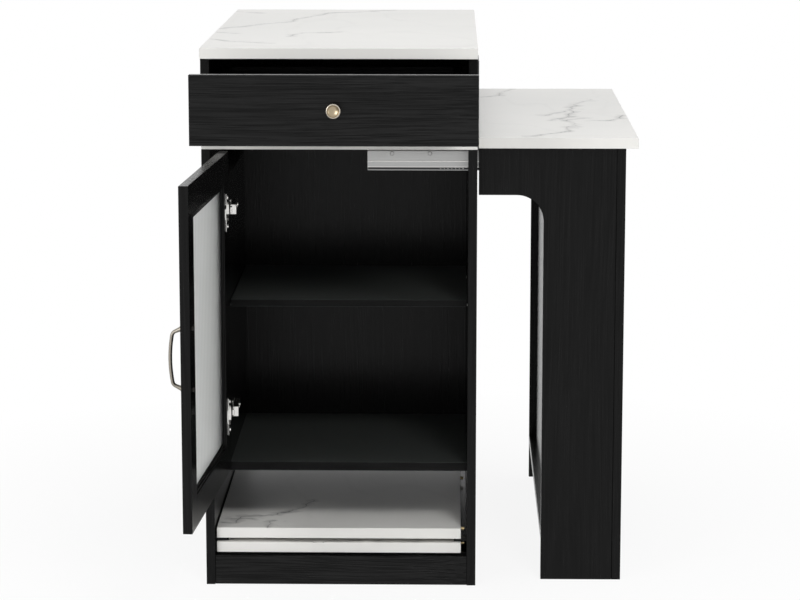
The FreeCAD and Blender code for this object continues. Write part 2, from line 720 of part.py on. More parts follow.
def table():
    top = board(("table_top_width", "table_length", "slab"),
                ("half_width + table_top_gap", "table_front", "deck_underside"))
    holes = [rod("leaf_pin_radius + 2 * fit", "leaf_pin_reach + overrun + seat_gap",
                 ("half_width + table_top_gap - overrun", y, "deck_underside + slab / 2"), "x")
             for y in pin_places("table_front")]
    node("table_top", cut(top, holes))
    node("front_arch_panel", arch_panel("arch_front"))
    node("rear_arch_panel", arch_panel("arch_front + arch_length - board"))
    node("table_end_panel", board(("board", "arch_length", "deck_underside"),
                                  ("end_panel_left", "arch_front", "0")))
    between_y = "arch_front + board"
    between = "arch_length - 2 * board"
    base_top = "base_board_underside + board"
    node("table_base_board", board(("leg_width", between, "board"),
                                   ("leg_left", between_y, "base_board_underside")))
    node("table_inner_panel", board(("board", between + " - 2 * (table_slide_width + slide_play)",
                                     f"deck_underside - ({base_top})"),
                                    ("leg_left + inner_panel_offset",
                                     between_y + " + table_slide_width + slide_play", base_top)))


def pin_places(start):
    return [f"{start} + leaf_pin_inset", f"{start} + table_length / 2",
            f"{start} + table_length - leaf_pin_inset"]


def leaves():
    for name, base in (("lower", "lower_leaf_base"), ("upper", "upper_leaf_base")):
        height = f"{base} + slab / 2"
        slab = board(("leaf_width", "table_length", "slab"), ("leaf_left", "leaf_front", base))
        right = "leaf_left + leaf_width"
        tools = []
        pins = []
        for y in pin_places("leaf_front"):
            buried = "leaf_pin_length - leaf_pin_reach"
            pin_start = (f"{right} - ({buried})", y, height)
            tools.append(rod("leaf_pin_radius + fit", f"{buried} + overrun", pin_start, "x"))
            tools.append(rod("leaf_pin_radius + 2 * fit", "leaf_pin_reach + overrun + seat_gap",
                             ("leaf_left - overrun", y, height), "x"))
            pins.append(rod("leaf_pin_radius", "leaf_pin_length", pin_start, "x"))
        node(f"{name}_leaf", cut(slab, tools))
        node(f"{name}_leaf_pins", group(pins))
    runners = []
    runner_length = "cabinet_depth - 2 * kick_recess - 2 * board"
    for thick, base in (("lower_runner", "kick_height"), ("upper_runner", "upper_runner_base")):
        for x in ("-half_inside", "half_inside - runner_width"):
            runners.append(block(("runner_width", runner_length, thick), (x, "board / 2", base)))
    node("leaf_runners", group(runners))


def outlet():
    plate = block(("outlet_thickness", "outlet_length", "outlet_width"),
                  ("half_width", "middle - outlet_length / 2", "outlet_height - outlet_width / 2"))
    face_length = "2 * socket_size + socket_gap"
    window = block(("outlet_thickness + overrun", face_length, "socket_size"),
                   ("half_width + outlet_recess", f"middle - ({face_length}) / 2",
                    "outlet_height - socket_size / 2"))
    node("outlet_plate", cut(plate, [window]))
    sockets = []
    for side in ("-", "+"):
        centre = f"middle {side} socket_pitch / 2"
        body = block(("outlet_thickness - outlet_recess", "socket_size", "socket_size"),
                     ("half_width + outlet_recess", f"{centre} - socket_size / 2",
                      "outlet_height - socket_size / 2"))
        slot_x = "half_width + outlet_thickness - outlet_slot_depth"
        slots = [block(("outlet_slot_depth + overrun", "slot_width", "slot_length"),
                       (slot_x, f"{centre} {way} slot_spread / 2 - slot_width / 2", "outlet_height"))
                 for way in ("-", "+")]
        slots.append(rod("earth_radius", "outlet_slot_depth + overrun",
                         (slot_x, centre, "outlet_height - slot_length"), "x"))
        sockets.append(cut(body, slots))
    node("outlet_sockets", group(sockets))


cabinet()
drawer_case()
drawer_slides()
drawer()
door()
hinge_mounts()
table_slides()
table()
leaves()
outlet()
doc.recompute()

failed = [item.Label for item in doc.Objects if {"Invalid", "Error"} & set(item.State)]
for item in nodes:
    if item.Shape.isNull() or not item.Shape.isValid() or not item.Shape.Solids:
        failed.append(item.Label)
if failed:
    raise RuntimeError("these objects failed: " + ", ".join(failed))

os.makedirs("parts", exist_ok=True)
for item in nodes:
    item.Shape.exportStep(f"parts/{item.Label}.step")
print(len(nodes), "parts written")
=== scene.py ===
import math
import bmesh
import bpy
from mathutils import Matrix, Vector


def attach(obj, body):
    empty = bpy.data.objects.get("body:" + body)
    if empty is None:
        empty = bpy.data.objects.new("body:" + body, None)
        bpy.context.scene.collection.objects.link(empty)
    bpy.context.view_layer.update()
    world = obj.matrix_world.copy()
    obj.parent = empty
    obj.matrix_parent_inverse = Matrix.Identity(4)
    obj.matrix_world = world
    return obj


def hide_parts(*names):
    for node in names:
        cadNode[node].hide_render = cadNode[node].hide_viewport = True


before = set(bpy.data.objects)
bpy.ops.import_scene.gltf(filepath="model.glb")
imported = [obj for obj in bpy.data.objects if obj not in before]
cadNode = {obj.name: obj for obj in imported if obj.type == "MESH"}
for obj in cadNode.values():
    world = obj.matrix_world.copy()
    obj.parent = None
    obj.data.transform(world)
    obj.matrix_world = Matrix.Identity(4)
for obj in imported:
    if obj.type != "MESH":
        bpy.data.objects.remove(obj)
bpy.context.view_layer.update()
print("frame loaded")


# where each moving or repeated group stands at rest, in metres and degrees
def standing(x, y, degrees):
    return Matrix.Translation((x, y, 0)) @ Matrix.Rotation(math.radians(degrees), 4, "Z")


groupPlace = {
    "front_door": standing(-0.2003, -0.0105, -93.7),
    "rear_door": standing(0.2003, 0.7895, 180),
    "front_drawer": standing(0, -0.2025, 0),
    "rear_drawer": standing(0, 0.7895, 180),
    "front_bay": standing(0, -0.0105, 0),
    "rear_bay": standing(0, 0.7895, 180),
}


# shader and geometry trees share these
def feed(tree, node, inputs):
    for socket, value in inputs.items():
        if isinstance(value, bpy.types.NodeSocket):
            tree.links.new(value, node.inputs[socket])
        else:
            node.inputs[socket].default_value = value


def addNode(tree, kind, inputs=None, **settings):
    node = tree.nodes.new(kind)
    for setting, value in settings.items():
        setattr(node, setting, value)
    feed(tree, node, inputs or {})
    return node


def mathNode(tree, operation, *values):
    return addNode(tree, "ShaderNodeMath", dict(enumerate(values)), operation=operation).outputs[0]


def vectorMath(tree, operation, *values):
    return addNode(tree, "ShaderNodeVectorMath", dict(enumerate(values)), operation=operation).outputs[0]


def scaled(tree, vector, amount):
    inputs = {0: vector, "Scale": amount}
    return addNode(tree, "ShaderNodeVectorMath", inputs, operation="SCALE").outputs[0]


# shader trees only
def newMaterial(name):
    material = bpy.data.materials.new(name)
    material.use_nodes = True
    tree = material.node_tree
    shader = tree.nodes["Principled BSDF"]
    places = tree.nodes.new("ShaderNodeTexCoord").outputs["Object"]
    return material, tree, shader, places


def noise(tree, places, scale, detail, roughness=0.5):
    return addNode(tree, "ShaderNodeTexNoise", {
        "Vector": places, "Scale": scale, "Detail": detail, "Roughness": roughness}).outputs


def mapped(tree, value, old, new):
    return addNode(tree, "ShaderNodeMapRange", {
        "Value": value, "From Min": old[0], "From Max": old[1],
        "To Min": new[0], "To Max": new[1]}).outputs["Result"]


def blended(tree, factor, first, second, **settings):
    inputs = {0: factor, 6: first, 7: second}
    return addNode(tree, "ShaderNodeMix", inputs, data_type="RGBA", **settings).outputs[2]


def bumped(tree, height, strength, distance):
    inputs = {"Height": height, "Strength": strength, "Distance": distance}
    return addNode(tree, "ShaderNodeBump", inputs).outputs["Normal"]


def ramp(tree, factor, stops):
    node = addNode(tree, "ShaderNodeValToRGB", {"Fac": factor})
    elements = node.color_ramp.elements
    for element, (position, level) in zip(elements, stops):
        element.position = position
        colour = level if isinstance(level, tuple) else (level, level, level)
        element.color = (*colour, 1)
    return node.outputs["Color"]


def shaded(colour, share):
    return tuple(share * part for part in colour)


def facesLevel(tree):
    normal = tree.nodes.new("ShaderNodeNewGeometry").outputs["True Normal"]
    height = addNode(tree, "ShaderNodeSeparateXYZ", {0: normal}).outputs["Z"]
    return mathNode(tree, "GREATER_THAN", mathNode(tree, "ABSOLUTE", height), 0.5)


# noise levels that the finishes share
fullRange = (0, 1)
wideStops = (0.3, 0.7)
middleGrey = (0.5, 0.5, 0.5)

# black embossed wood-grain laminate, one material for each grain direction
laminate = {
    "tones": {"X": (0.0001, 0.0118), "Y": (0.0010, 0.0038), "Z": (0.0006, 0.0044)},
    "toneStops": (0.40, 0.60),
    "bandPitch": 0.0026,
    "bandDetail": (3, 0.6),
    "bandShare": 0.62,
    "poreScale": 760,
    "poreDetail": (4, 0.7),
    "alongGrain": 0.014,
    "swellScale": (4, 1.4),
    "waviness": 0.036,
    "sheenStops": (0.35, 0.65),
    "roughness": (0.27, 0.17),
    "specular": 0.145,
    "relief": (0.6, 0.0006),
}


def blackLaminate(grain):
    material, tree, shader, places = newMaterial("blackLaminateGrain" + grain)
    sizes = laminate
    across, along = sizes["swellScale"]
    swell = noise(tree, vectorMath(tree, "MULTIPLY", places, [
        along if axis == grain else across for axis in "XYZ"]), 1, 2)["Color"]
    drift = scaled(tree, vectorMath(tree, "SUBTRACT", swell, middleGrey), sizes["waviness"])
    streaked = vectorMath(tree, "MULTIPLY", vectorMath(tree, "ADD", places, drift), [
        sizes["alongGrain"] if axis == grain else 1 for axis in "XYZ"])
    bands = noise(tree, streaked, 1 / sizes["bandPitch"], *sizes["bandDetail"])["Fac"]
    pores = noise(tree, streaked, sizes["poreScale"], *sizes["poreDetail"])["Fac"]
    level = mathNode(tree, "ADD", mathNode(tree, "MULTIPLY", bands, sizes["bandShare"]),
                     mathNode(tree, "MULTIPLY", pores, 1 - sizes["bandShare"]))
    feed(tree, shader, {
        "Base Color": ramp(tree, level, zip(sizes["toneStops"], sizes["tones"][grain])),
        "Roughness": mapped(tree, level, sizes["sheenStops"], sizes["roughness"]),
        "Specular IOR Level": sizes["specular"],
        "Normal": bumped(tree, level, *sizes["relief"]),
    })
    return material


# shelf boards: plain black faces, with grain only on their edge bands
plainFace = {
    "colour": (0.035, 0.038, 0.036),
    "shade": 0.86,
    "roughness": (0.46, 0.54),
    "specular": 0.10,
    "speckle": 900,
    "relief": (0.2, 0.0001),
    "streaks": (12, 400, 400),
}


def shelfBoard():
    material, tree, shader, places = newMaterial("plainBlackFace")
    sizes = plainFace
    speckle = noise(tree, places, sizes["speckle"], 2)["Fac"]
    pale = sizes["colour"]
    tint = ramp(tree, speckle, zip(wideStops, (shaded(pale, sizes["shade"]), pale)))
    streaks = noise(tree, vectorMath(tree, "MULTIPLY", places, sizes["streaks"]), 1, 3)["Fac"]
    band = ramp(tree, streaks, zip(laminate["toneStops"], laminate["tones"]["Y"]))
    feed(tree, shader, {
        "Base Color": blended(tree, facesLevel(tree), band, tint),
        "Roughness": mapped(tree, speckle, fullRange, sizes["roughness"]),
        "Specular IOR Level": sizes["specular"],
        "Normal": bumped(tree, speckle, *sizes["relief"]),
    })
    return material


# white boards printed with soft grey stone veins
marble = {
    "white": (0.83, 0.817, 0.785),
    "cloud": (0.765, 0.757, 0.730),
    "cloudField": (2.2, 5, 0.6),
    "cloudStops": (0.35, 0.75),
    "vein": (0.16, 0.155, 0.15),
    "roughness": (0.26, 0.34),
    "specular": 0.22,
    "grit": 900,
    "relief": (0.05, 0.0002),
    "bend": (16, 0.045),
    "ripple": (110, 0.010),
    "thread": 0.0034,
    "halo": (0.018, 0.40),
    "bendDetail": (3, 0.55),
    "swellScale": 34,
    "swellStops": (0.35, 0.65),
    "spread": (2.6, 0.7),
    "patchScale": 13,
    "patchStops": (0.34, 0.52),
    "patchStrength": (0.35, 1),
    "faintStretch": (2.6, 1.15, 1),
    "faintField": (2.1, 1.5, 0.4),
    "faint": (0.02, 0.05),
}
# the drawn veins of each board, as loose paths over its face
marbleVeins = {
    "island_top": [
        [(-0.222, 0.360), (-0.160, 0.445), (-0.105, 0.525), (-0.090, 0.620), (-0.050, 0.715),
         (0.080, 0.790)],
        [(-0.094, 0.200), (-0.072, 0.262), (-0.012, 0.285)],
        [(-0.225, 0.142), (-0.184, 0.102), (-0.114, 0.065)],
        [(-0.228, 0.286), (-0.184, 0.260)],
        [(-0.230, 0.750), (-0.180, 0.712)],
    ],
    "table_top": [
        [(0.440, 0.610), (0.408, 0.472), (0.401, 0.385), (0.381, 0.280), (0.399, 0.190),
         (0.384, 0.105), (0.318, 0.036)],
        [(0.346, 0.330), (0.386, 0.402)],
        [(0.362, 0.262), (0.404, 0.330)],
        [(0.384, 0.262), (0.418, 0.300)],
        [(0.428, 0.262), (0.463, 0.260), (0.494, 0.345)],
        [(0.236, 0.636), (0.275, 0.660), (0.300, 0.772)],
    ],
    "upper_leaf": [
        [(-0.211, 0.034), (-0.186, 0.032), (-0.171, 0.074), (-0.124, 0.080), (-0.088, 0.116),
         (-0.056, 0.186)],
        [(-0.190, 0.060), (-0.150, 0.050)],
        [(-0.127, 0.000), (-0.123, 0.032), (-0.114, 0.040)],
        [(-0.010, 0.620), (0.060, 0.520), (0.170, 0.470)],
    ],
    "lower_leaf": [
        [(-0.105, 0.014), (-0.030, 0.002), (0.032, 0.016)],
        [(0.058, 0.014), (0.132, 0.004)],
        [(-0.200, 0.420), (-0.060, 0.360), (0.080, 0.250), (0.190, 0.240)],
        [(-0.040, 0.700), (0.060, 0.560)],
    ],
    "mid_deck": [
        [(-0.200, 0.250), (-0.020, 0.310), (0.120, 0.480)],
        [(-0.120, 0.620), (0.060, 0.700)],
    ],
}


def nearestVein(tree, spot, paths):
    nearest = None
    for path in paths:
        for (x, y), (nextX, nextY) in zip(path, path[1:]):
            run = Vector((nextX - x, nextY - y, 0))
            away = vectorMath(tree, "SUBTRACT", spot, (x, y, 0))
            along = addNode(tree, "ShaderNodeVectorMath", {
                0: away, 1: tuple(run / run.length_squared)}, operation="DOT_PRODUCT")
            kept = addNode(tree, "ShaderNodeClamp", {"Value": along.outputs["Value"]}).outputs[0]
            gap = addNode(tree, "ShaderNodeVectorMath", {
                0: away, 1: scaled(tree, tuple(run), kept)}, operation="DISTANCE").outputs["Value"]
            nearest = gap if nearest is None else mathNode(tree, "MINIMUM", nearest, gap)
    return nearest


def marbleBoard(node):
    material, tree, shader, places = newMaterial("marble_" + node)
    sizes = marble

    def warped(source, scale, amount):
        colour = noise(tree, places, scale, *sizes["bendDetail"])["Color"]
        shift = vectorMath(tree, "SUBTRACT", colour, middleGrey)
        return vectorMath(tree, "ADD", source, vectorMath(tree, "MULTIPLY", shift, (amount, amount, 0)))

    bent = warped(vectorMath(tree, "MULTIPLY", places, (1, 1, 0)), *sizes["bend"])
    bent = warped(bent, *sizes["ripple"])
    swelling = noise(tree, places, sizes["swellScale"], 2)["Fac"]
    thin = mathNode(tree, "MULTIPLY", nearestVein(tree, bent, marbleVeins[node]),
                    mapped(tree, swelling, sizes["swellStops"], sizes["spread"]))
    thread = mapped(tree, thin, (0, sizes["thread"]), (1, 0))
    halo = mapped(tree, thin, (0, sizes["halo"][0]), (sizes["halo"][1], 0))
    patches = noise(tree, places, sizes["patchScale"], 2)["Fac"]
    presence = mapped(tree, patches, sizes["patchStops"], sizes["patchStrength"])
    drawn = mathNode(tree, "MULTIPLY", mathNode(tree, "MAXIMUM", thread, halo), presence)
    stretched = vectorMath(tree, "MULTIPLY", bent, sizes["faintStretch"])
    field = noise(tree, stretched, *sizes["faintField"])
    ridge = mathNode(tree, "ABSOLUTE", mathNode(tree, "SUBTRACT", field["Fac"], 0.5))
    faint = mapped(tree, ridge, (0, sizes["faint"][0]), (sizes["faint"][1], 0))
    faint = mathNode(tree, "MULTIPLY", faint, presence)
    veins = mathNode(tree, "MULTIPLY", mathNode(tree, "MAXIMUM", drawn, faint), facesLevel(tree))
    clouds = noise(tree, places, *sizes["cloudField"])["Fac"]
    ground = ramp(tree, clouds, zip(sizes["cloudStops"], (sizes["white"], sizes["cloud"])))
    grit = noise(tree, places, sizes["grit"], 2)["Fac"]
    feed(tree, shader, {
        "Base Color": blended(tree, veins, ground, (*sizes["vein"], 1)),
        "Roughness": mapped(tree, grit, fullRange, sizes["roughness"]),
        "Specular IOR Level": sizes["specular"],
        "Normal": bumped(tree, grit, *sizes["relief"]),
    })
    return material


# metals: base colour, roughness range, streak scale on each axis, relief in metres
metals = {
    "zincSteel": ((0.43, 0.43, 0.425), (0.26, 0.40), (14, 260, 260), 0.00003),
    "darkScrew": ((0.035, 0.033, 0.03), (0.30, 0.42), (300, 300, 300), 0.00001),
    "champagneGold": ((0.56, 0.51, 0.43), (0.22, 0.32), (420, 420, 90), 0.00001),
    # darker gold for the knob's dish: painted shade
    "dishShadeGold": ((0.42, 0.345, 0.235), (0.24, 0.36), (500, 60, 500), 0.00001),
    "satinGold": ((0.30, 0.275, 0.235), (0.34, 0.46), (420, 420, 90), 0.00001),
    "brightNickel": ((0.74, 0.73, 0.71), (0.14, 0.24), (160, 160, 160), 0.00001),
    "paleBrass": ((0.80, 0.63, 0.34), (0.22, 0.34), (200, 300, 300), 0.00001),
}
brushing = {"detail": (4, 0.65), "shade": 0.9, "strength": 0.3}


def metal(name):
    colour, rough, streaks, depth = metals[name]
    material, tree, shader, places = newMaterial(name)
    stretched = vectorMath(tree, "MULTIPLY", places, streaks)
    brushed = noise(tree, stretched, 1, *brushing["detail"])["Fac"]
    feed(tree, shader, {
        "Base Color": ramp(tree, brushed, zip(wideStops, (shaded(colour, brushing["shade"]), colour))),
        "Roughness": mapped(tree, brushed, fullRange, rough),
        "Metallic": 1,
        "Normal": bumped(tree, brushed, brushing["strength"], depth),
    })
    return material


# frosted pane, darker in the valleys between its flutes as painted shade
frostedPane = {
    "ripple": 60,
    "rippleStretch": (1, 1, 0.2),
    "roughness": (0.52, 0.60),
    "clear": ((0.95, 0.96, 0.945), (0.98, 0.985, 0.975)),
    "valleyShade": (0.62, 0.64, 0.63),
    "valleyShadeEnd": 0.55,
    "bending": 1.25,
    "relief": (0.05, 0.0001),
}


def flutedGlass():
    material, tree, shader, places = newMaterial("flutedGlass")
    sizes = frostedPane
    stretched = vectorMath(tree, "MULTIPLY", places, sizes["rippleStretch"])
    ripple = noise(tree, stretched, sizes["ripple"], 2)["Fac"]
    flute = tree.nodes.new("ShaderNodeAttribute")
    flute.attribute_name = "flute"
    clear = ramp(tree, ripple, zip(wideStops, sizes["clear"]))
    # the valleys take a darker tint: painted shade between the flutes
    valleyShade = ramp(tree, flute.outputs["Fac"], [(0, sizes["valleyShade"]), (sizes["valleyShadeEnd"], 1)])
    feed(tree, shader, {
        "Base Color": blended(tree, 1, clear, valleyShade, blend_type="MULTIPLY"),
        "Roughness": mapped(tree, ripple, fullRange, sizes["roughness"]),
        "Transmission Weight": 1,
        "IOR": sizes["bending"],
        "Normal": bumped(tree, ripple, *sizes["relief"]),
    })
    return material


# moulded plastic of the outlet, of the slides' ball cages and of their full-length strips of painted gap
# shade
mouldedPlastic = {
    "tones": ((0.008, 0.008, 0.009), (0.014, 0.014, 0.015)),
    "grit": (1400, 3),
    "roughness": (0.28, 0.42),
    "relief": (0.15, 0.0001),
}


def blackPlastic():
    material, tree, shader, places = newMaterial("blackPlastic")
    grit = noise(tree, places, *mouldedPlastic["grit"])["Fac"]
    feed(tree, shader, {
        "Base Color": ramp(tree, grit, zip(wideStops, mouldedPlastic["tones"])),
        "Roughness": mapped(tree, grit, fullRange, mouldedPlastic["roughness"]),
        "Normal": bumped(tree, grit, *mouldedPlastic["relief"]),
    })
    return material


uprightGrain = blackLaminate("Z")
levelGrain = blackLaminate("X")
depthGrain = blackLaminate("Y")
steel = metal("zincSteel")
darkSteel = metal("darkScrew")
gold = metal("champagneGold")
dishShade = metal("dishShadeGold")
satinGold = metal("satinGold")
nickel = metal("brightNickel")
brass = metal("paleBrass")
glass = flutedGlass()
plastic = blackPlastic()
print("materials made")


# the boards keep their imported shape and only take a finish
finishes = [
    *[(marbleBoard(node), [node]) for node in marbleVeins],
    (shelfBoard(), ["base_shelf", "adjustable_shelves"]),
    (uprightGrain, ["left_side_panel", "right_side_panel", "centre_divider", "drawer_case_divider",
                    "front_arch_panel", "rear_arch_panel", "table_end_panel", "table_inner_panel",
                    "front_door_frame", "rear_door_frame"]),
    (levelGrain, ["niche_floor", "toe_kicks", "drawer_case_floor",
                  "table_slide_hangers", "table_base_board", "front_drawer_face", "rear_drawer_face",
                  "front_drawer_bottom", "rear_drawer_bottom", "front_drawer_back", "rear_drawer_back"]),
    (depthGrain, ["drawer_case_sides", "leaf_runners", "front_drawer_sides", "rear_drawer_sides"]),
    (steel, ["shelf_pins"]),
    (brass, ["upper_leaf_pins", "lower_leaf_pins"]),
    (plastic, ["outlet_sockets"]),
]
for material, names in finishes:
    for name in names:
        cadNode[name].material_slots[0].material = material
print("boards finished")


# ways to make and keep a mesh piece
weld = 1e-6  # metres
sharpAngle = 30  # degrees


def settle(piece, body, slotName, *replaced):
    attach(piece, body)
    if replaced:
        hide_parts(*replaced)


def shown(name, mesh, material=None):
    piece = bpy.data.objects.new(name, mesh)
    bpy.context.scene.collection.objects.link(piece)
    if material:
        mesh.materials.clear()
        mesh.materials.append(material)
    return piece


def plainResult(source, name):
    view = bpy.context.evaluated_depsgraph_get()
    mesh = bpy.data.meshes.new_from_object(source.evaluated_get(view))
    bpy.data.objects.remove(source)
    return shown(name, mesh)


def smoothed(mesh, degrees):
    for face in mesh.polygons:
        face.use_smooth = True
    mesh.set_sharp_from_angle(angle=math.radians(degrees))
    return mesh


def meshFrom(name, points, faces, place=None, degrees=sharpAngle):
    mesh = bpy.data.meshes.new(name)
    mesh.from_pydata([tuple(point) for point in points], [], faces)
    if place:
        mesh.transform(place)
    tidy = bmesh.new()
    tidy.from_mesh(mesh)
    bmesh.ops.remove_doubles(tidy, verts=tidy.verts, dist=weld)
    bmesh.ops.recalc_face_normals(tidy, faces=tidy.faces)
    tidy.to_mesh(mesh)
    tidy.free()
    return smoothed(mesh, degrees)


def joined(meshes, name):
    whole = bmesh.new()
    for mesh in meshes:
        whole.from_mesh(mesh)
    result = bpy.data.meshes.new(name)
    whole.to_mesh(result)
    whole.free()
    return smoothed(result, sharpAngle)


def lathed(name, profile, steps, place, degrees):
    points, faces = [], []
    for radius, height in profile:
        for step in range(steps):
            angle = 2 * math.pi * step / steps
            points.append((radius * math.cos(angle), radius * math.sin(angle), height))
    for ring in range(len(profile) - 1):
        for step in range(steps):
            near, far = ring * steps + step, ring * steps + (step + 1) % steps
            faces.append((near, far, far + steps, near + steps))
    return meshFrom(name, points, faces, place, degrees)


def swept(name, spots, widths, heights, side, place, around, degrees):
    points, faces = [], []
    count = len(spots)
    for index, spot in enumerate(spots):
        along = (spots[min(index + 1, count - 1)] - spots[max(index - 1, 0)]).normalized()
        up = side.cross(along).normalized()
        for step in range(around):
            angle = 2 * math.pi * step / around
            outward = side * (widths[index] / 2 * math.cos(angle))
            points.append(spot + outward + up * (heights[index] / 2 * math.sin(angle)))
    for index in range(count - 1):
        for step in range(around):
            near, far = index * around + step, index * around + (step + 1) % around
            faces.append((near, far, far + around, near + around))
    faces.append(tuple(range(around)))
    faces.append(tuple(range((count - 1) * around, count * around)))
    return meshFrom(name, points, faces, place, degrees)


# drawer knobs: a turned mushroom with a rolled rim and a shallow dished face, the dish painted darker as
# shade
knob = {
    "height": 0.8343,
    "faceFront": -0.016,
    "steps": 72,
    "profile": [
        (0, 0), (0.0082, 0), (0.0088, -0.0006), (0.0086, -0.0018), (0.0072, -0.0030), (0.0058, -0.0046),
        (0.0050, -0.0070), (0.0050, -0.0090), (0.0060, -0.0112), (0.0085, -0.0132), (0.0106, -0.0150),
        (0.0116, -0.0166), (0.0120, -0.0186), (0.0120, -0.0205), (0.0117, -0.0221), (0.0110, -0.0232),
        (0.0102, -0.0235), (0.0098, -0.0234), (0.0095, -0.0229), (0.0082, -0.0215), (0.0064, -0.0204),
        (0.0044, -0.0197), (0.0022, -0.0193), (0, -0.0192),
    ],
    "dish": 0.0097,
    "dishCentre": -0.0214,
    "dishReach": 0.0026,
    "crease": 40,
}


def makeKnobs():
    seat = Matrix.Translation((0, knob["faceFront"], knob["height"]))
    axis = seat @ Matrix.Rotation(math.radians(-90), 4, "X")
    for side in ("front", "rear"):
        place = groupPlace[side + "_drawer"] @ axis
        mesh = lathed(side + "Knob", knob["profile"], knob["steps"], place, knob["crease"])
        piece = shown(side + "Knob", mesh, gold)
        mesh.materials.append(dishShade)
        # the faces of the dish take the darker gold: painted shade
        centre = place @ Vector((0, 0, knob["dishCentre"]))
        for face in mesh.polygons:
            away = face.center - centre
            dished = Vector((away.x, 0, away.z)).length < knob["dish"]
            face.material_index = int(dished and abs(away.y) < knob["dishReach"])
        settle(piece, side + "_drawer", "champagne_gold", side + "_drawer_knob")


makeKnobs()
print("knobs made")


# door pulls: a rounded strap bowed outwards, on two splayed and flared feet
pull = {
    "across": 0.3838,
    "height": 0.470,
    "spacing": 0.096,
    "reach": 0.023,
    "strap": 0.0058,
    "strapWidth": 0.0082,
    "footWidth": 0.0110,
    "footReach": 0.009,
    "cornerRadius": 0.009,
    "cornerHeight": 0.0346,
    "splay": 0.42,
    "bowRadius": 0.210,
    "steps": 12,
    "around": 20,
    "seam": 0.0001,
    "crease": 50,
}


def pullPath():
    half = pull["spacing"] / 2
    corner = pull["cornerRadius"]
    bow = pull["bowRadius"]
    outer = pull["reach"] - pull["strap"] / 2
    centre = outer - bow
    rise = pull["cornerHeight"]
    cornerOut = centre + math.sqrt((bow - corner) ** 2 - rise ** 2)
    lean = math.asin(rise / (bow - corner))
    first = math.pi / 2 - pull["splay"]
    drop = cornerOut / 2 * math.tan(pull["splay"])
    spots = [Vector((0, 0, half)), Vector((0, -cornerOut / 2, half - drop))]
    for step in range(pull["steps"] + 1):
        angle = first + (lean - first) * step / pull["steps"]
        spots.append(Vector((0, -cornerOut - corner * math.cos(angle), rise + corner * math.sin(angle))))
    for step in range(1, 2 * pull["steps"]):
        angle = lean - lean * step / pull["steps"]
        spots.append(Vector((0, -centre - bow * math.cos(angle), bow * math.sin(angle))))
    upper = [spot for spot in spots if spot.z > pull["seam"]]
    middle = [Vector((0, -outer, 0))]
    return upper + middle + [Vector((0, spot.y, -spot.z)) for spot in reversed(upper)]


def makePulls():
    path = pullPath()
    widths, heights = [], []
    for spot in path:
        near = max(0.0, 1 + spot.y / pull["footReach"])
        widths.append(pull["strapWidth"] + (pull["footWidth"] - pull["strapWidth"]) * near ** 2)
        heights.append(pull["strap"] * (1 + near ** 2))
    for side in ("front", "rear"):
        place = groupPlace[side + "_door"] @ Matrix.Translation((pull["across"], 0, pull["height"]))
        mesh = swept(side + "Pull", path, widths, heights, Vector((1, 0, 0)), place,
                     pull["around"], pull["crease"])
        piece = shown(side + "Pull", mesh, satinGold)
        settle(piece, side + "_door", "champagne_gold", side + "_door_handle")


makePulls()
print("door pulls made")


# geometry node trees
def newTree(name, inputs):
    tree = bpy.data.node_groups.new(name, "GeometryNodeTree")
    tree.interface.new_socket("Geometry", in_out="INPUT", socket_type="NodeSocketGeometry")
    tree.interface.new_socket("Geometry", in_out="OUTPUT", socket_type="NodeSocketGeometry")
    for label, kind in inputs:
        tree.interface.new_socket(label, in_out="INPUT", socket_type="NodeSocket" + kind)
    return tree, tree.nodes.new("NodeGroupInput").outputs


def shapeNode(tree, kind, inputs, **settings):
    return addNode(tree, "GeometryNode" + kind, inputs, **settings).outputs[0]


def combined(tree, **parts):
    return addNode(tree, "ShaderNodeCombineXYZ", parts).outputs[0]


def closeTree(tree, geometry, material):
    real = shapeNode(tree, "RealizeInstances", {"Geometry": geometry})
    painted = shapeNode(tree, "SetMaterial", {"Geometry": real, "Material": material})
    addNode(tree, "NodeGroupOutput", {0: painted})


def grown(name, base, tree, values):
    source = shown(name + "Base", base)
    modifier = source.modifiers.new("grow", "NODES")
    modifier.node_group = tree
    for item in tree.interface.items_tree:
        if item.item_type == "SOCKET" and item.in_out == "INPUT" and item.name in values:
            modifier[item.identifier] = values[item.name]
    return plainResult(source, name)


# door glass: round upright flutes on the outer side, flat inside
pane = {
    "left": 0.036,
    "front": 0.0058,
    "bottom": 0.2452,
    "Width": 0.3286,
    "Height": 0.4496,
    "Thickness": 0.0032,
    "Flute Depth": 0.0007,
    "Flutes": 22,
    "Steps": 12,
    "crease": 20,
}


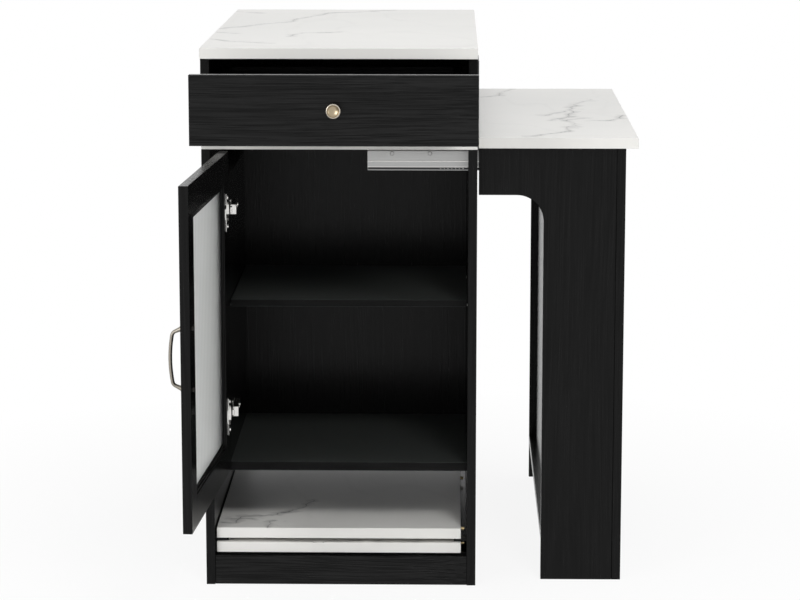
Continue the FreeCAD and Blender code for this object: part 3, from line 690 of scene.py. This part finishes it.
def flutedPaneTree():
    tree, given = newTree("flutedPane", [("Width", "Float"), ("Height", "Float"), ("Thickness", "Float"),
                                         ("Flute Depth", "Float"), ("Flutes", "Int"), ("Steps", "Int"),
                                         ("Finish", "Material")])
    columns = mathNode(tree, "ADD", mathNode(tree, "MULTIPLY", given["Flutes"], given["Steps"]), 1)
    grid = shapeNode(tree, "MeshGrid", {
        "Size X": given["Width"], "Size Y": given["Height"], "Vertices X": columns, "Vertices Y": 2})
    place = tree.nodes.new("GeometryNodeInputPosition").outputs[0]
    spot = addNode(tree, "ShaderNodeSeparateXYZ", {0: place}).outputs
    share = mathNode(tree, "DIVIDE", spot["X"], given["Width"])
    turns = mathNode(tree, "MULTIPLY", share, given["Flutes"])
    wave = mathNode(tree, "ABSOLUTE", mathNode(tree, "SINE", mathNode(tree, "MULTIPLY", turns, math.pi)))
    swell = combined(tree, Z=mathNode(tree, "MULTIPLY", wave, given["Flute Depth"]))
    marked = shapeNode(tree, "StoreNamedAttribute", {
        "Geometry": grid, "Name": "flute", "Value": wave}, data_type="FLOAT", domain="POINT")
    front = shapeNode(tree, "SetPosition", {"Geometry": marked, "Offset": swell})
    depth = mathNode(tree, "MULTIPLY", given["Thickness"], -1)
    pulled = addNode(tree, "GeometryNodeExtrudeMesh", {
        "Mesh": front, "Offset": combined(tree, Z=depth), "Individual": False}).outputs
    back = shapeNode(tree, "SetPosition", {
        "Geometry": pulled["Mesh"], "Selection": pulled["Top"],
        "Position": combined(tree, X=spot["X"], Y=spot["Y"], Z=depth)})
    both = tree.nodes.new("GeometryNodeJoinGeometry")
    for part in (front, shapeNode(tree, "FlipFaces", {"Mesh": back})):
        tree.links.new(part, both.inputs[0])
    whole = shapeNode(tree, "MergeByDistance", {"Geometry": both.outputs[0], "Distance": weld})
    closeTree(tree, whole, given["Finish"])
    return tree


def makePanes():
    tree = flutedPaneTree()
    middle = (pane["left"] + pane["Width"] / 2, pane["front"], pane["bottom"] + pane["Height"] / 2)
    upright = Matrix.Translation(middle) @ Matrix.Rotation(math.radians(90), 4, "X")
    for side in ("front", "rear"):
        piece = grown(side + "Pane", bpy.data.meshes.new("start"), tree, {**pane, "Finish": glass})
        piece.data.transform(groupPlace[side + "_door"] @ upright)
        smoothed(piece.data, pane["crease"])
        settle(piece, side + "_door", "fluted_glass", side + "_door_glass")


makePanes()
print("fluted panes made")


# stepped beads that hold the glass, mitred round the pane
bead = {
    "left": 0.0358,
    "bottom": 0.245,
    "width": 0.329,
    "height": 0.450,
    "profile": [
        (0, 0.0092), (0, 0.0149), (0.0022, 0.0150), (0.0034, 0.0146), (0.0040, 0.0134), (0.0068, 0.0132),
        (0.0080, 0.0126), (0.0086, 0.0114), (0.0118, 0.0110), (0.0128, 0.0104), (0.0130, 0.0092),
    ],
    "crease": 25,
}


def makeBeads():
    points, faces = [], []
    count = len(bead["profile"])
    for inset, depth in bead["profile"]:
        left, right = bead["left"] + inset, bead["left"] + bead["width"] - inset
        low, high = bead["bottom"] + inset, bead["bottom"] + bead["height"] - inset
        points += [(left, depth, low), (right, depth, low), (right, depth, high), (left, depth, high)]
    for ring in range(count):
        after = (ring + 1) % count
        for corner, nextCorner in ((0, 1), (1, 2), (2, 3), (3, 0)):
            here = (ring * 4 + corner, ring * 4 + nextCorner)
            faces.append((*here, after * 4 + nextCorner, after * 4 + corner))
    for side in ("front", "rear"):
        mesh = meshFrom(side + "Beads", points, faces, groupPlace[side + "_door"], bead["crease"])
        piece = shown(side + "Beads", mesh, uprightGrain)
        settle(piece, side + "_door", "black_laminate", side + "_door_beads")


makeBeads()
print("beads made")


# pressed and moulded parts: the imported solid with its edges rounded, angles in degrees
rounding = {"weld": 1e-5, "flat": 2, "corner": 40, "segments": 2, "crease": 35}


def softened(node, body, slotName, material, radius):
    source = cadNode[node]
    mesh = source.data.copy()
    clean = bmesh.new()
    clean.from_mesh(mesh)
    bmesh.ops.remove_doubles(clean, verts=clean.verts, dist=rounding["weld"])
    flat = math.radians(rounding["flat"])
    bmesh.ops.dissolve_limit(clean, angle_limit=flat, verts=clean.verts, edges=clean.edges)
    clean.to_mesh(mesh)
    clean.free()
    piece = shown(node + "_soft", mesh, material)
    bevel = piece.modifiers.new("round", "BEVEL")
    bevel.width = radius
    bevel.segments = rounding["segments"]
    bevel.limit_method = "ANGLE"
    bevel.angle_limit = math.radians(rounding["corner"])
    bevel.use_clamp_overlap = True
    piece = plainResult(piece, node + "_rounded")
    smoothed(piece.data, rounding["crease"])
    settle(piece, body, slotName, node)


# slide members: rolled channels with rounded corners, each nested in the next
tableSlide = {
    "left": 0.0452,
    "length": 0.416,
    "front": 0.0455,
    "width": 0.014,
    "base": 0.703,
    "height": 0.039,
    "step": 0.0016,
    "wall": 0.0012,
    "corner": 0.0017,
    "cornerSteps": 4,
    "lips": (0.0035, 0.0075, 0.0075, 0),
    "groove": (0.7188, 0.0010, -0.0004),
    # heights of bright nickel bands, painted as highlight lines along the groove and the lower race
    "highlightBands": ((0.7176, 0.7200), (0.7070, 0.7094)),
    "middle": (0.2532, 0.3995),
}
drawerSlide = {
    "front": 0.002,
    "length": 0.350,
    "inside": 0.2008,
    "outside": 0.2135,
    "base": 0.8055,
    "height": 0.045,
    "groove": (0.828, 0.004, 0.0005),
    "middleLag": {"front": 0.096, "rear": 0},
}


def channel(name, web, lips, low, high, start, length, groove=None):
    points = [(lips, low)]
    inward = 1 if web > lips else -1
    corner, wall, steps = tableSlide["corner"], tableSlide["wall"], tableSlide["cornerSteps"]
    for centre, first in ((low + corner, -90), (high - corner, 0)):
        for step in range(steps + 1):
            angle = math.radians(first + 90 * step / steps)
            across = web + inward * corner * (math.cos(angle) - 1)
            points.append((across, centre + corner * math.sin(angle)))
        if groove and centre < groove[0]:
            middle, half, depth = groove
            for lift, sunk in ((-half, 0), (-half / 2, depth), (half / 2, depth), (half, 0)):
                points.append((web - inward * sunk, middle + lift))
    points.append((lips, high))
    inner = []
    for index, (across, up) in enumerate(points):
        before, after = points[max(index - 1, 0)], points[min(index + 1, len(points) - 1)]
        along = Vector((after[0] - before[0], after[1] - before[1])).normalized()
        inner.append((across - inward * along.y * wall, up + inward * along.x * wall))
    ring = points + list(reversed(inner))
    count = len(ring)
    spots = [(start + end * length, across, up) for end in (0, 1) for across, up in ring]
    faces = []
    for index in range(count):
        after = (index + 1) % count
        faces.append((index, after, after + count, index + count))
    for index in range(len(points) - 1):
        other = count - 1 - index
        faces.append((index, index + 1, other - 1, other))
        faces.append((count + index, count + index + 1, count + other - 1, count + other))
    return meshFrom(name, spots, faces)


def bothTurned(name, mesh, turn):
    twin = mesh.copy()
    twin.transform(turn)
    return joined([mesh, twin], name)


def makeTableSlides():
    sizes = tableSlide
    middleX, middleY = sizes["middle"]
    turn = Matrix.Translation((2 * middleX, 2 * middleY, 0)) @ Matrix.Rotation(math.pi, 4, "Z")
    members = [("table_slide_outers", "cabinet"), ("table_slide_first_middles", "table_first_middles"),
               ("table_slide_second_middles", "table_second_middles"), ("table_slide_inners", "table")]
    for level, (node, body) in enumerate(members):
        near = sizes["front"] + sizes["lips"][level]
        far = sizes["front"] + sizes["width"] - level * sizes["step"]
        low = sizes["base"] + level * sizes["step"]
        high = sizes["base"] + sizes["height"] - level * sizes["step"]
        web, lips = (near, far) if body == "table" else (far, near)
        groove = sizes["groove"] if body == "table" else None
        mesh = channel(node + "_rolled", web, lips, low, high, sizes["left"], sizes["length"], groove)
        piece = shown(node + "_rolled", bothTurned(node + "_rolled", mesh, turn), steel)
        if body == "table":
            # faces inside these bands take bright nickel: painted highlight lines
            piece.data.materials.append(nickel)
            for face in piece.data.polygons:
                inHighlightBands = [low <= face.center.z <= high for low, high in sizes["highlightBands"]]
                face.material_index = int(any(inHighlightBands))
        settle(piece, body, "zinc_steel", node)


def makeDrawerSlides():
    sizes = drawerSlide
    opposite = Matrix.Translation((0, 2 * sizes["front"] + sizes["length"], 0))
    turn = opposite @ Matrix.Rotation(math.pi, 4, "Z")
    along = Matrix(((0, 1, 0, 0), (1, 0, 0, 0), (0, 0, 1, 0), (0, 0, 0, 1)))
    step = tableSlide["step"]
    kinds = [("outers", 2, 0, False), ("middles", 1, 1, False), ("inners", 0, 2, True)]
    for kind, inset, outset, webInside in kinds:
        near, far = sizes["inside"] + inset * step, sizes["outside"] - outset * step
        low, high = sizes["base"] + outset * step, sizes["base"] + sizes["height"] - outset * step
        web, lips = (near, far) if webInside else (far, near)
        mesh = channel(kind, web, lips, low, high, sizes["front"], sizes["length"], sizes["groove"])
        mesh.transform(along)
        mesh.flip_normals()
        mesh = bothTurned(kind, mesh, turn)
        if kind == "outers":
            pair = []
            for side in ("front", "rear"):
                copy = mesh.copy()
                copy.transform(groupPlace[side + "_bay"])
                pair.append(copy)
            node = "drawer_slide_outers"
            settle(shown(node + "_rolled", joined(pair, node), steel), "cabinet", "zinc_steel", node)
            continue
        for side in ("front", "rear"):
            copy = mesh.copy()
            lag = sizes["middleLag"][side] if kind == "middles" else 0
            copy.transform(Matrix.Translation((0, lag, 0)) @ groupPlace[side + "_drawer"])
            node = f"{side}_drawer_slide_{kind}"
            body = side + ("_drawer_middles" if kind == "middles" else "_drawer")
            settle(shown(node + "_rolled", copy, steel), body, "zinc_steel", node)


makeTableSlides()
makeDrawerSlides()
print("slides rolled")


# node, body, slot, finish and edge radius in metres
for part in [
    ("hinge_plates", "cabinet", "bright_nickel", nickel, 0.0006),
    ("hinge_arms", "cabinet", "bright_nickel", nickel, 0.0012),
    ("front_hinge_cups", "front_door", "bright_nickel", nickel, 0.0004),
    ("rear_hinge_cups", "rear_door", "bright_nickel", nickel, 0.0004),
    ("outlet_plate", "cabinet", "black_plastic", plastic, 0.0012),
]:
    softened(*part)
print("hinges and outlet rounded")


# screw heads with a cross recess, grown on points that carry their facing direction
screws = {
    "door pulls": {
        "Head Radius": 0.0036, "Head Height": 0.0020, "Recess Length": 0.0046, "Recess Width": 0.0010},
    "hardware": {
        "Head Radius": 0.0034, "Head Height": 0.0014, "Recess Length": 0.0040, "Recess Width": 0.0009},
    "slide": {
        "Head Radius": 0.0038, "Head Height": 0.0022, "Recess Length": 0.0036, "Recess Width": 0.0011},
}
headShape = {"Vertices": 28, "Side Segments": 1}
topShare, recessShare = 0.72, 0.9  # of the head's radius and height


def screwTree():
    tree, given = newTree("crossScrew", [
        ("Head Radius", "Float"), ("Head Height", "Float"), ("Recess Length", "Float"),
        ("Recess Width", "Float"), ("Finish", "Material")])
    head = shapeNode(tree, "MeshCone", {
        **headShape, "Radius Bottom": given["Head Radius"], "Depth": given["Head Height"],
        "Radius Top": mathNode(tree, "MULTIPLY", given["Head Radius"], topShare)})
    depth = mathNode(tree, "MULTIPLY", given["Head Height"], recessShare)
    lift = combined(tree, Z=given["Head Height"])
    cut = addNode(tree, "GeometryNodeMeshBoolean", operation="DIFFERENCE", solver="EXACT")
    tree.links.new(head, cut.inputs["Mesh 1"])
    length, width = given["Recess Length"], given["Recess Width"]
    for x, y in ((length, width), (width, length)):
        solid = shapeNode(tree, "MeshCube", {"Size": combined(tree, X=x, Y=y, Z=depth)})
        raised = shapeNode(tree, "Transform", {"Geometry": solid, "Translation": lift})
        tree.links.new(raised, cut.inputs["Mesh 2"])
    facing = addNode(tree, "GeometryNodeInputNamedAttribute", {"Name": "facing"}, data_type="FLOAT_VECTOR")
    aim = addNode(tree, "FunctionNodeAlignRotationToVector", {"Vector": facing.outputs[0]}, axis="Z")
    placed = shapeNode(tree, "InstanceOnPoints", {
        "Points": given["Geometry"], "Instance": cut.outputs["Mesh"], "Rotation": aim.outputs[0]})
    closeTree(tree, placed, given["Finish"])
    return tree


crossScrew = screwTree()


def screwSet(name, body, slotName, kind, finish, spots, *replaced):
    base = bpy.data.meshes.new(name)
    base.from_pydata([spot for spot, facing in spots], [], [])
    facings = base.attributes.new("facing", "FLOAT_VECTOR", "POINT")
    for item, (spot, facing) in zip(facings.data, spots):
        item.vector = facing
    piece = grown(name, base, crossScrew, {**screws[kind], "Finish": finish})
    settle(piece, body, slotName, *replaced)


def spotsIn(place, spots):
    turn = place.to_3x3()
    return [(place @ Vector(spot), turn @ Vector(facing)) for spot, facing in spots]


# where the screws stand, on each door, in each bay and on the front table slide
screwSpots = {
    "hinges": (0.2975, 0.6425),  # heights above the floor
    "pullDepth": 0.015,  # behind the door's front
    "cup": (0.0128, 0.0165),  # across the door, and behind its front
    "cupReach": 0.024,  # above and below the hinge
    "armSide": -0.1751,
    "armDepths": (0.056, 0.074),
    "slide": [(0.0863, 0.0455, 0.7318), (0.1495, 0.0455, 0.7318)],
}


def makeScrews():
    sizes = screwSpots
    for side in ("front", "rear"):
        place = groupPlace[side + "_door"]
        feet = [pull["height"] + sign * pull["spacing"] / 2 for sign in (-1, 1)]
        heads = [((pull["across"], sizes["pullDepth"], height), (0, 1, 0)) for height in feet]
        screwSet(side + "PullScrews", side + "_door", "zinc_steel", "door pulls", darkSteel,
                 spotsIn(place, heads), side + "_door_handle_screws")
        ends = [height + sign * sizes["cupReach"] for height in sizes["hinges"] for sign in (-1, 1)]
        cups = spotsIn(place, [((*sizes["cup"], height), (0, 1, 0)) for height in ends])
        screwSet(side + "CupScrews", side + "_door", "bright_nickel", "hardware", nickel, cups)
        arms = [((sizes["armSide"], along, height), (1, 0, 0))
                for height in sizes["hinges"] for along in sizes["armDepths"]]
        arms = spotsIn(groupPlace[side + "_bay"], arms)
        screwSet(side + "HingeScrews", "cabinet", "bright_nickel", "hardware", nickel, arms)
    heads = [(spot, (0, -1, 0)) for spot in sizes["slide"]]
    screwSet("tableSlideScrews", "table", "zinc_steel", "slide", steel, heads)


makeScrews()
print("screws made")


# bearing balls in the lower race of both table slides, held in a dark cage; the cage strip runs the
# slide's whole length, a real cage near the balls and painted shade of the gap between members elsewhere
bearing = {
    "Count": 7,
    "Pitch": 0.0063,
    "Ball Radius": 0.0013,
    "middles": [(0.1865, 0.0490, 0.7060), (0.3199, 0.7500, 0.7060)],
    "ball": {"Segments": 16, "Rings": 10},
    "cagesAndGapShade": [((0.0462, 0.4602), (0.0492, 0.0520), (0.7046, 0.7074)),
              ((0.0462, 0.4602), (0.7470, 0.7498), (0.7046, 0.7074))],
}


def bearingTree():
    tree, given = newTree("bearingRow", [
        ("Count", "Int"), ("Pitch", "Float"), ("Ball Radius", "Float"), ("Finish", "Material")])
    half = mathNode(tree, "MULTIPLY", mathNode(tree, "SUBTRACT", given["Count"], 1), -0.5)
    row = shapeNode(tree, "MeshLine", {
        "Count": given["Count"], "Offset": combined(tree, X=given["Pitch"]),
        "Start Location": combined(tree, X=mathNode(tree, "MULTIPLY", half, given["Pitch"]))})
    ball = shapeNode(tree, "MeshUVSphere", {**bearing["ball"], "Radius": given["Ball Radius"]})
    smooth = shapeNode(tree, "SetShadeSmooth", {"Geometry": ball})
    balls = shapeNode(tree, "InstanceOnPoints", {"Points": row, "Instance": smooth})
    rows = shapeNode(tree, "InstanceOnPoints", {"Points": given["Geometry"], "Instance": balls})
    closeTree(tree, rows, given["Finish"])
    return tree


def makeBearings():
    base = bpy.data.meshes.new("bearingMiddles")
    base.from_pydata(bearing["middles"], [], [])
    piece = grown("tableSlideBalls", base, bearingTree(), {**bearing, "Finish": nickel})
    settle(piece, "table_first_middles", "zinc_steel")
    # full-length dark strips: a real cage near the balls, painted shade in the rest of the gap
    strips = []
    for across, depths, heights in bearing["cagesAndGapShade"]:
        points = [(x, y, z) for x in across for y in depths for z in heights]
        faces = [(0, 1, 3, 2), (4, 5, 7, 6), (0, 1, 5, 4), (2, 3, 7, 6), (0, 2, 6, 4), (1, 3, 7, 5)]
        strips.append(meshFrom("cageAndGapShadeStrip", points, faces))
    piece = shown("tableSlideCagesAndGapShade", joined(strips, "cagesAndGapShade"), plastic)
    settle(piece, "table_first_middles", "black_plastic")


makeBearings()
print("bearing balls made")


# room, light and camera
room = {
    "reach": 40,
    "drop": 0.0004,
    "floor": (0.86, 0.86, 0.86, 1),
    "floorRoughness": 0.8,
    "floorSpecular": 0.1,
    "clearCentre": (0.1, 0.4, 0),
    "clearReach": (0.4, 1.2),
    "clearShare": (0.90, 1),
    "air": (0.97, 0.985, 1, 1),
    "airStrength": 0.27,
    "white": (1, 1, 1, 1),
}


def seenPlainly(tree):
    rays = tree.nodes.new("ShaderNodeLightPath").outputs
    seen = mathNode(tree, "MAXIMUM", rays["Is Camera Ray"], rays["Is Glossy Ray"])
    return mathNode(tree, "MAXIMUM", seen, rays["Is Transmission Ray"])


def makeFloor():
    reach = room["reach"]
    corners = [(-reach, -reach, 0), (reach, -reach, 0), (reach, reach, 0), (-reach, reach, 0)]
    mesh = bpy.data.meshes.new("studioFloor")
    mesh.from_pydata(corners, [], [(0, 1, 2, 3)])
    mesh.transform(Matrix.Translation((0, 0, -room["drop"])))
    material, tree, shader, places = newMaterial("studioFloorPaint")
    feed(tree, shader, {"Base Color": room["floor"], "Roughness": room["floorRoughness"],
                        "Specular IOR Level": room["floorSpecular"]})
    away = addNode(tree, "ShaderNodeVectorMath", {0: places, 1: room["clearCentre"]}, operation="DISTANCE")
    clear = mapped(tree, away.outputs["Value"], room["clearReach"], room["clearShare"])
    glow = addNode(tree, "ShaderNodeEmission", {"Color": room["white"], "Strength": 1}).outputs[0]
    mixed = addNode(tree, "ShaderNodeMixShader", {
        0: mathNode(tree, "MULTIPLY", seenPlainly(tree), clear), 1: shader.outputs[0], 2: glow})
    tree.links.new(mixed.outputs[0], tree.nodes["Material Output"].inputs["Surface"])
    shown("studioFloor", mesh, material)


def makeAir():
    world = bpy.data.worlds.new("studioAir")
    world.use_nodes = True
    bpy.context.scene.world = world
    tree = world.node_tree
    dim = tree.nodes["Background"]
    feed(tree, dim, {"Color": room["air"], "Strength": room["airStrength"]})
    white = addNode(tree, "ShaderNodeBackground", {"Color": room["white"], "Strength": 1})
    mixed = addNode(tree, "ShaderNodeMixShader", {
        0: seenPlainly(tree), 1: dim.outputs[0], 2: white.outputs[0]})
    tree.links.new(mixed.outputs[0], tree.nodes["World Output"].inputs["Surface"])


# square lamps: spot, target, width in metres, watts, and whether shiny pieces mirror them
lamps = {
    "frontLamp": ((1.1, -2.8, 2.8), (0.1, 0.2, 0.4), 0.8, 52, False),
    "leftLamp": ((-2.7, -3.5, 1.7), (0.1, 0.2, 0.5), 2.4, 82, True),
    "rightLamp": ((3.5, -1.6, 1.2), (0.1, 0.1, 0.4), 1.6, 11, True),
    "topLamp": ((0.3, 0.6, 3.4), (0.1, 0.4, 0.5), 2.6, 31, False),
    "rearLamp": ((2.4, 4.2, 0.9), (0.1, 0.4, 0.45), 1.8, 34, False),
}


def makeLamps():
    for name, (spot, target, width, watts, mirrored) in lamps.items():
        light = bpy.data.lights.new(name, "AREA")
        light.size = width
        light.energy = watts
        holder = bpy.data.objects.new(name, light)
        holder.visible_glossy = mirrored
        bpy.context.scene.collection.objects.link(holder)
        holder.location = spot
        towards = Vector(target) - Vector(spot)
        holder.rotation_euler = towards.to_track_quat("-Z", "Y").to_euler()


cameraView = {
    "spot": (0.1846, -4.5331, 1.3191),
    "down": 10.352,
    "left": 1.065,
    "lens": 124.06,
    "sensor": 36,
}


def makeCamera():
    camera = bpy.data.cameras.new("photoCamera")
    camera.lens = cameraView["lens"]
    camera.sensor_width = cameraView["sensor"]
    holder = bpy.data.objects.new("photoCamera", camera)
    bpy.context.scene.collection.objects.link(holder)
    holder.location = cameraView["spot"]
    holder.rotation_euler = (math.radians(90 - cameraView["down"]), 0, math.radians(cameraView["left"]))
    bpy.context.scene.camera = holder


makeFloor()
makeAir()
makeLamps()
makeCamera()
bpy.context.scene.view_settings.view_transform = "Standard"
print("room, lamps and camera made")
